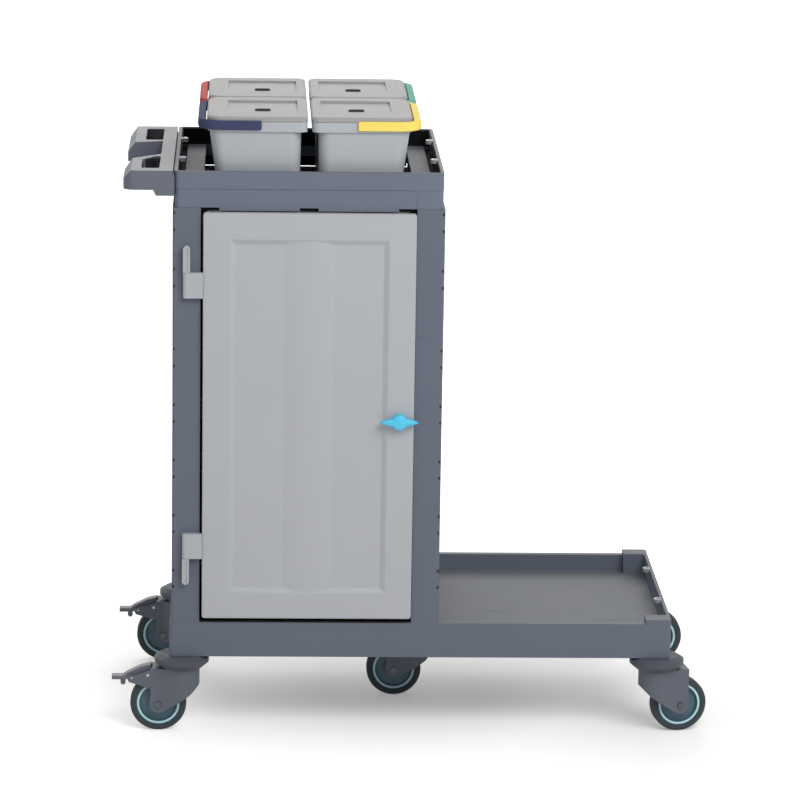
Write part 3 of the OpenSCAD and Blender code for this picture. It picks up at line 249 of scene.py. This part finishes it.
def steel(name, colour, rough):
    material, tree = newMaterial(name)
    place = tree.nodes.new("ShaderNodeTexCoord").outputs["Object"]
    streak = noise(tree, place, drawn["streakScale"], **drawn["streakNoise"])
    base = linear(colour)
    tone = mixColour(tree, streak, shade(base, drawn["dark"]), base)
    rubbed = mathNode(tree, "MULTIPLY_ADD", streak, drawn["roughSpread"], rough)
    shader = addNode(tree, "ShaderNodeBsdfPrincipled", Metallic=1.0, Base_Color=tone, Roughness=rubbed)
    addNode(tree, "ShaderNodeOutputMaterial", Surface=shader.outputs[0])
    return material


materials = {name: plastic(name, finish) for name, finish in looks.items()}
materials["steel"] = steel("steel", (184, 188, 192), 0.3)
materials["axle_zinc"] = steel("axle_zinc", (96, 100, 106), 0.42)

# Each CAD part takes the finish of its slot, apart from these three
ownFinish = {"top_tray": "slate_tray", "push_handle": "slate_handle", "rear_panel": "slate_frame"}
for part in subparts:
    mesh = nodes[part["node"]].data
    mesh.materials.clear()
    mesh.materials.append(materials[ownFinish.get(part["node"], part["material_slot"])])
print("materials set")

# Camera as solved on the photo's straight edges, its focal length in pixels of the picture
cameraSet = {
    "place": (-0.29717, -7.07904, 2.18707), "yaw": 2.26, "pitch": 12.97, "roll": 0.9,
    "focal": 3999.74, "pictureWidth": 800, "sensor": 36.0, "clipEnd": 60.0,
}
cameraData = bpy.data.cameras.new("camera")
cameraData.sensor_width = cameraSet["sensor"]
cameraData.lens = cameraSet["focal"] / cameraSet["pictureWidth"] * cameraSet["sensor"]
cameraData.clip_end = cameraSet["clipEnd"]
camera = bpy.data.objects.new("camera", cameraData)
scene.collection.objects.link(camera)
aim = Matrix.Rotation(math.radians(-cameraSet["yaw"]), 4, "Z")
aim = aim @ Matrix.Rotation(math.radians(90 - cameraSet["pitch"]), 4, "X")
aim = aim @ Matrix.Rotation(math.radians(cameraSet["roll"]), 4, "Z")
camera.matrix_world = Matrix.Translation(cameraSet["place"]) @ aim
scene.camera = camera
print("camera set")


# The body that a CAD node rides on
def bodyOf(node):
    return nodes[node]["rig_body"]


# A piece made from a bmesh, set on a body with one of the materials made above
def addPiece(name, form, body, material):
    bmesh.ops.recalc_face_normals(form, faces=form.faces)
    mesh = bpy.data.meshes.new(name)
    form.to_mesh(mesh)
    form.free()
    mesh.materials.append(materials[material])
    piece = bpy.data.objects.new(name, mesh)
    scene.collection.objects.link(piece)
    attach(piece, body)


def smoothFaces(form):
    for face in form.faces:
        face.smooth = True


# Turns a profile of (radius, height) round an axis through a point
def revolve(profile, place, axis, steps):
    form = bmesh.new()
    up = Vector(axis).normalized()
    side = up.orthogonal().normalized()
    across = up.cross(side)
    rings = []
    for i in range(steps):
        angle = 2 * math.pi * i / steps
        out = side * math.cos(angle) + across * math.sin(angle)
        rings.append([form.verts.new(Vector(place) + out * r + up * h) for r, h in profile])
    for i in range(steps):
        here = rings[i]
        there = rings[(i + 1) % steps]
        for k in range(len(profile) - 1):
            form.faces.new((here[k], here[k + 1], there[k + 1], there[k]))
    bmesh.ops.remove_doubles(form, verts=form.verts, dist=1e-7)
    smoothFaces(form)
    return form


# Joins rows of points, each a closed section, into one solid with both ends shut
def skinRows(form, rows):
    loops = [[form.verts.new(point) for point in row] for row in rows]
    for here, there in zip(loops, loops[1:]):
        for k in range(len(here)):
            n = (k + 1) % len(here)
            form.faces.new((here[k], here[n], there[n], there[k]))
    form.faces.new(loops[0])
    form.faces.new(loops[-1])


# Pale ring on both faces of each wheel, its back just under the face
ring = {
    "inner": 0.0342, "outer": 0.0379, "face": 0.011, "proud": 0.0006, "sunk": 0.0004, "edge": 0.0005,
    "steps": 96,
}
back = ring["face"] - ring["sunk"]
front = ring["face"] + ring["proud"]
ringProfile = [
    (ring["inner"], back), (ring["inner"], front - ring["edge"]), (ring["inner"] + ring["edge"], front),
    (ring["outer"] - ring["edge"], front), (ring["outer"], front - ring["edge"]), (ring["outer"], back),
]
for joint in frame["joints"]:
    if not joint["name"].startswith("wheel_spin"):
        continue
    for side, sign in (("near", -1), ("far", 1)):
        form = revolve(ringProfile, joint["pos_m"], Vector(joint["axis"]) * sign, ring["steps"])
        addPiece(joint["child"] + "_ring_" + side, form, joint["child"], "wheel_ring")
print("wheel rings made")


# Corner points turned into a closed outline with round corners
def roundOutline(corners, radius, steps):
    points = []
    count = len(corners)
    for i in range(count):
        here = Vector(corners[i])
        back = (Vector(corners[i - 1]) - here).normalized()
        ahead = (Vector(corners[(i + 1) % count]) - here).normalized()
        half = back.angle(ahead) / 2
        reach = radius / math.tan(half)
        middle = here + (back + ahead).normalized() * (radius / math.sin(half))
        first = here + back * reach - middle
        sweep = first.angle_signed(here + ahead * reach - middle)
        for k in range(steps + 1):
            turn = sweep * k / steps
            x = first.x * math.cos(turn) + first.y * math.sin(turn)
            y = first.y * math.cos(turn) - first.x * math.sin(turn)
            points.append(middle + Vector((x, y)))
    return points


# A thin skin inside an outline, open below or with a floor as thick as the skin
def shadeSkinForm(outline, low, high, skin, floor):
    form = bmesh.new()
    count = len(outline)
    centre = sum(outline, Vector((0.0, 0.0))) / count
    inner = [p - (p - centre).normalized() * skin for p in outline]
    innerLow = low + skin if floor else low
    loops = []
    for points, z in ((outline, low), (outline, high), (inner, high), (inner, innerLow)):
        loops.append([form.verts.new((p.x, p.y, z)) for p in points])
    pairs = [(0, 1), (1, 2), (2, 3)]
    if not floor:
        pairs.append((3, 0))
    for a, b in pairs:
        for i in range(count):
            k = (i + 1) % count
            form.faces.new((loops[a][i], loops[a][k], loops[b][k], loops[b][i]))
    if floor:
        form.faces.new(loops[0])
        form.faces.new(loops[3])
    return form


# Painted shade: a dark skin in the two hand holes of the push handle, for the shade inside them
grip = {
    "bar": 0.031, "width": 0.0315, "length": 0.124, "edge": 0.029, "fall": 0.03125, "radius": 0.006,
    "steps": 6, "slack": 0.0002, "bottom": 0.0335, "top": 0.0012, "skin": 0.0008,
}
low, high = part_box("push_handle")
left = low.x + grip["bar"] + grip["slack"]
right = low.x + grip["bar"] + grip["width"] - grip["slack"]
front = low.y + grip["edge"] + grip["slack"]
rear = high.y - grip["edge"] - grip["slack"]
long = grip["length"] - 2 * grip["slack"]
holes = {
    "front": [(left, front), (right, front), (right, front + long), (left, front + long - grip["fall"])],
    "rear": [(left, rear - long), (right, rear - long), (right, rear), (left, rear)],
}
for name, corners in holes.items():
    outline = roundOutline(corners, grip["radius"], grip["steps"])
    form = shadeSkinForm(outline, high.z - grip["bottom"], high.z - grip["top"], grip["skin"], False)
    addPiece("hand_hole_painted_shade_" + name, form, bodyOf("push_handle"), "hole_dark")

# Painted shade: a dark cup with a low rim in each lid's finger slot, for the shade in the slot
cup = {
    "width": 0.0272, "depth": 0.0192, "radius": 0.0062, "steps": 5, "off": 0.009, "fore": 0.035,
    "sink": 0.0058, "rim": 0.0012, "skin": 0.0006,
}
for place, sign in (("fl", 1), ("rl", 1), ("fr", -1), ("rr", -1)):
    lid = "lid_" + place
    low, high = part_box(lid)
    x = (low.x + high.x) / 2 + sign * cup["off"]
    y = (low.y + high.y) / 2 - cup["fore"]
    w = cup["width"] / 2
    d = cup["depth"] / 2
    corners = [(x - w, y - d), (x + w, y - d), (x + w, y + d), (x - w, y + d)]
    outline = roundOutline(corners, cup["radius"], cup["steps"])
    form = shadeSkinForm(outline, high.z - cup["sink"], high.z + cup["rim"], cup["skin"], True)
    addPiece("finger_slot_" + place, form, bodyOf(lid), "slot_dark")
print("linings made")

# Small rivet near the tip of each braked fork's arm, on both of its faces
rivet = {
    "radius": 0.0019, "height": 0.0011, "back": 0.0288, "down": 0.0055, "sunk": 0.0004, "edge": 0.0003,
    "shoulder": (0.8, 0.75), "top": 0.4, "steps": 20,
}
radius = rivet["radius"]
height = rivet["height"]
outShare, upShare = rivet["shoulder"]
rivetProfile = [
    (0.0, -rivet["sunk"]), (radius, -rivet["sunk"]), (radius, rivet["edge"]),
    (radius * outShare, height * upShare), (radius * rivet["top"], height), (0.0, height),
]
for place in ("fl", "rl"):
    low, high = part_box("pedal_pin_" + place)
    x = (low.x + high.x) / 2 - rivet["back"]
    z = (low.z + high.z) / 2 - rivet["down"]
    for name, y, sign in (("near", low.y, -1), ("far", high.y, 1)):
        form = revolve(rivetProfile, (x, y, z), (0, sign, 0), rivet["steps"])
        addPiece("fork_rivet_" + place + "_" + name, form, bodyOf("fork_" + place), "steel")

# Painted shade: a black strip behind the skirt's notches, in the liner's finish, for the shade seen through
# them
strip = {
    "thick": 0.001, "off": 0.0003, "rise": 0.012, "lip": 0.0055, "wall": 0.006, "side": 0.0475,
    "bend": 0.002,
}
low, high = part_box("top_tray")
top = low.z + strip["lip"] + strip["rise"]
under = top - strip["thick"]
ends = (low.x + strip["side"], high.x - strip["side"])
for name, face, sign in (("front", low.y, -1), ("rear", high.y, 1)):
    near = face - sign * (strip["wall"] + strip["off"])
    far = near - sign * strip["thick"]
    back = far - sign * strip["bend"]
    path = [
        (near, low.z), (near, top), (back, top), (back, under), (far, under - strip["bend"]), (far, low.z),
    ]
    form = bmesh.new()
    skinRows(form, [[(x, y, z) for y, z in path] for x in ends])
    addPiece("liner_strip_" + name, form, bodyOf("top_tray"), "black_liner")

# Painted shade: a dark strip on the bottom of each groove in the cabinet's sides, with a lip round each
# post's face, for the shade in the grooves
groove = {
    "pitch": 0.1, "gap": 0.03, "high": 0.005, "deep": 0.0023, "sunk": 0.0003, "slack": 0.0002,
    "bevel": 0.0004, "skin": 0.0003, "lip": 0.0046, "first": {"lower": 0.066, "upper": 0.089},
}
skin = groove["skin"]
bevel = groove["bevel"]
half = groove["high"] / 2 - groove["slack"]
for side, sign in (("left", 1), ("right", -1)):
    for level, first in groove["first"].items():
        node = side + "_side_" + level
        low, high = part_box(node)
        face = low.x if sign > 0 else high.x
        outer = face + sign * groove["sunk"]
        soft = outer + sign * bevel
        runs = [
            (groove["deep"], low.y + skin, high.y - skin),
            (groove["lip"], low.y - skin, low.y + 2 * skin),
            (groove["lip"], high.y - 2 * skin, high.y + skin),
        ]
        room = high.z - low.z - first - groove["gap"] - groove["high"]
        pairs = 1 + int(room / groove["pitch"])
        form = bmesh.new()
        for i in range(2 * pairs):
            z = low.z + first + groove["pitch"] * (i // 2) + groove["gap"] * (i % 2)
            for reach, near, far in runs:
                inner = face + sign * reach
                path = [
                    (inner, z - half), (soft, z - half), (outer, z - half + bevel),
                    (outer, z + half - bevel), (soft, z + half), (inner, z + half),
                ]
                skinRows(form, [[(x, y, h) for x, h in path] for y in (near, far)])
        addPiece("groove_shade_strips_" + side + "_" + level, form, bodyOf(node), "groove_dark")
print("trim made")

# Rounded outer face on the grip of each bail, fading out round its corners
cover = {
    "radius": 0.034, "bulge": 0.0024, "half": 0.008, "sink": 0.0006, "tuck": 0.0002, "turns": 12,
    "runs": 6, "arc": 8,
}
radius = cover["radius"]
turns = cover["turns"]
across = [math.sin(math.pi / 2 * (2 * k / cover["arc"] - 1)) for k in range(cover["arc"] + 1)]
for part in subparts:
    node = part["node"]
    if not node.startswith("bail_"):
        continue
    low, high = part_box(node)
    side = 1 if node.endswith("l") else -1
    axisX = (low.x if side > 0 else high.x) + side * radius
    middle = (low.z + high.z) / 2

    # Round one corner, along the grip and round the other: centre, way out, share of the bulge
    stations = []
    for k in range(turns + 1):
        turn = math.pi / 2 * k / turns
        out = Vector((-side * math.sin(turn), -math.cos(turn)))
        stations.append((Vector((axisX, low.y + radius)), out, k / turns))
    for k in range(1, cover["runs"]):
        y = low.y + radius + (high.y - low.y - 2 * radius) * k / cover["runs"]
        stations.append((Vector((axisX, y)), Vector((-side, 0.0)), 1.0))
    for k in range(turns + 1):
        turn = math.pi / 2 * k / turns
        out = Vector((-side * math.cos(turn), math.sin(turn)))
        stations.append((Vector((axisX, high.y - radius)), out, 1 - k / turns))

    rows = []
    for centre, out, share in stations:
        bulge = cover["bulge"] * share * share * (3 - 2 * share) - cover["tuck"]
        section = []
        for t in across:
            reach = bulge * math.sqrt(max(0.0, 1 - t * t)) if bulge > 0 else bulge
            section.append((reach, cover["half"] * t))
        section += [(-cover["sink"], cover["half"]), (-cover["sink"], -cover["half"])]
        row = []
        for reach, z in section:
            spot = centre + out * (radius + reach)
            row.append((spot.x, spot.y, middle + z))
        rows.append(row)
    form = bmesh.new()
    skinRows(form, rows)
    smoothFaces(form)
    addPiece(node + "_cover", form, bodyOf(node), part["material_slot"])
print("bail covers made")

# Crowned face of the knob: a ridge along the wings and a dome on the hub
crown = {
    "width": 0.0665, "height": 0.0152, "rise": 0.0024, "reach": 0.99, "sunk": 0.0004, "sections": 28,
    "arc": 8, "hub": 0.0129, "hubEdge": 0.0006, "hubBevel": 0.0007, "hubTop": 0.0013, "dome": 0.0034,
    "domeRings": 8, "turns": 48,
}
low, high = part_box("latch_knob")
middle = Vector(((low.x + high.x) / 2, low.y, (low.z + high.z) / 2))
halfWide = crown["width"] / 2
halfHigh = crown["height"] / 2
bow = (halfWide ** 2 + halfHigh ** 2) / (2 * halfHigh)
across = [2 * k / crown["arc"] - 1 for k in range(crown["arc"] + 1)]
rows = []
for i in range(crown["sections"] + 1):
    x = halfWide * crown["reach"] * (2 * i / crown["sections"] - 1)
    half = math.sqrt(bow ** 2 - x ** 2) - bow + halfHigh
    section = [(half * t, crown["rise"] * half / halfHigh * (1 - t * t)) for t in across]
    section += [(half, -crown["sunk"]), (-half, -crown["sunk"])]
    rows.append([middle + Vector((x, -rise, z)) for z, rise in section])
form = bmesh.new()
skinRows(form, rows)
smoothFaces(form)
addPiece("knob_ridge", form, bodyOf("latch_knob"), "cyan_knob")

hub = crown["hub"]
hubTop = crown["hubTop"]
flat = hub - crown["hubBevel"]
domeProfile = [(hub, -crown["sunk"]), (hub, crown["hubEdge"]), (flat, hubTop)]
for k in range(1, crown["domeRings"] + 1):
    share = 1 - k / crown["domeRings"]
    domeProfile.append((flat * share, hubTop + (crown["dome"] - hubTop) * (1 - share ** 2)))
form = revolve(domeProfile, middle, (0, -1, 0), crown["turns"])
addPiece("knob_dome", form, bodyOf("latch_knob"), "cyan_knob")
print("knob face made")

# Floor: pale and matt, white to the eye away from the shadow; its glow to the eye is lowest near the cart
# and near the front right wheel, a painted shadow
studio = {
    "white": (1.0, 1.0, 1.0, 1.0), "floorSize": 40.0, "floorColour": (246, 243, 242), "world": 0.42,
    "lift": 0.26, "near": 0.15, "far": 1.9, "paintedShadowCentres": ((0.0, 0.0, 0.0), (0.56, -0.25, 0.0)), "merge": 0.15,
}
floorMesh = bpy.data.meshes.new("floor")
floorForm = bmesh.new()
bmesh.ops.create_grid(floorForm, x_segments=1, y_segments=1, size=studio["floorSize"] / 2)
floorForm.to_mesh(floorMesh)
floorForm.free()
floor = bpy.data.objects.new("floor", floorMesh)
scene.collection.objects.link(floor)
floorMaterial, tree = newMaterial("floor")
rays = tree.nodes.new("ShaderNodeLightPath").outputs
seen = mathNode(tree, "MAXIMUM", rays["Is Camera Ray"], rays["Is Glossy Ray"])
ground = tree.nodes.new("ShaderNodeTexCoord").outputs["Object"]
spans = [vectorNode(tree, "DISTANCE", ground, spot) for spot in studio["paintedShadowCentres"]]
shadowDistance = mathNode(tree, "SMOOTH_MIN", *spans, studio["merge"])
# Painted shadow: the glow rises from its lift near the centres to white far off
away = addNode(tree, "ShaderNodeMapRange", Value=shadowDistance, From_Min=studio["near"], From_Max=studio["far"],
               To_Min=studio["lift"], To_Max=1.0)
strength = mathNode(tree, "MULTIPLY", seen, away.outputs["Result"])
matt = addNode(tree, "ShaderNodeBsdfDiffuse", Color=linear(studio["floorColour"]))
glow = addNode(tree, "ShaderNodeEmission", Color=studio["white"], Strength=strength)
both = tree.nodes.new("ShaderNodeAddShader")
feed(tree, both.inputs[0], matt.outputs[0])
feed(tree, both.inputs[1], glow.outputs[0])
addNode(tree, "ShaderNodeOutputMaterial", Surface=both.outputs[0])
floorMesh.materials.append(floorMaterial)

# World: plain soft light, white where it is seen
world = bpy.data.worlds.new("studio")
scene.world = world
world.use_nodes = True
tree = world.node_tree
tree.nodes.clear()
rays = tree.nodes.new("ShaderNodeLightPath").outputs
seen = mathNode(tree, "MAXIMUM", rays["Is Camera Ray"], rays["Is Transmission Ray"])
seen = mathNode(tree, "MAXIMUM", seen, rays["Is Glossy Ray"])
strength = mathNode(tree, "MULTIPLY_ADD", seen, 1.0 - studio["world"], studio["world"])
sky = addNode(tree, "ShaderNodeBackground", Color=studio["white"], Strength=strength)
addNode(tree, "ShaderNodeOutputWorld", Surface=sky.outputs[0])

# Lamps: one broad box high at the front and right, one high behind
lamps = {
    "front": {"place": (1.2, -2.7, 2.9), "aim": (0.0, 0.0, 0.5), "size": (2.6, 1.8), "watts": 82.0},
    "behind": {"place": (-0.3, 2.7, 2.1), "aim": (0.0, 0.0, 0.2), "size": (3.2, 1.8), "watts": 46.0},
}
for name, lamp in lamps.items():
    data = bpy.data.lights.new(name, "AREA")
    data.shape = "RECTANGLE"
    data.size, data.size_y = lamp["size"]
    data.energy = lamp["watts"]
    item = bpy.data.objects.new(name, data)
    item.location = lamp["place"]
    toward = Vector(lamp["aim"]) - Vector(lamp["place"])
    item.rotation_euler = toward.to_track_quat("-Z", "Y").to_euler()
    scene.collection.objects.link(item)
scene.view_settings.view_transform = "Standard"
print("studio set")
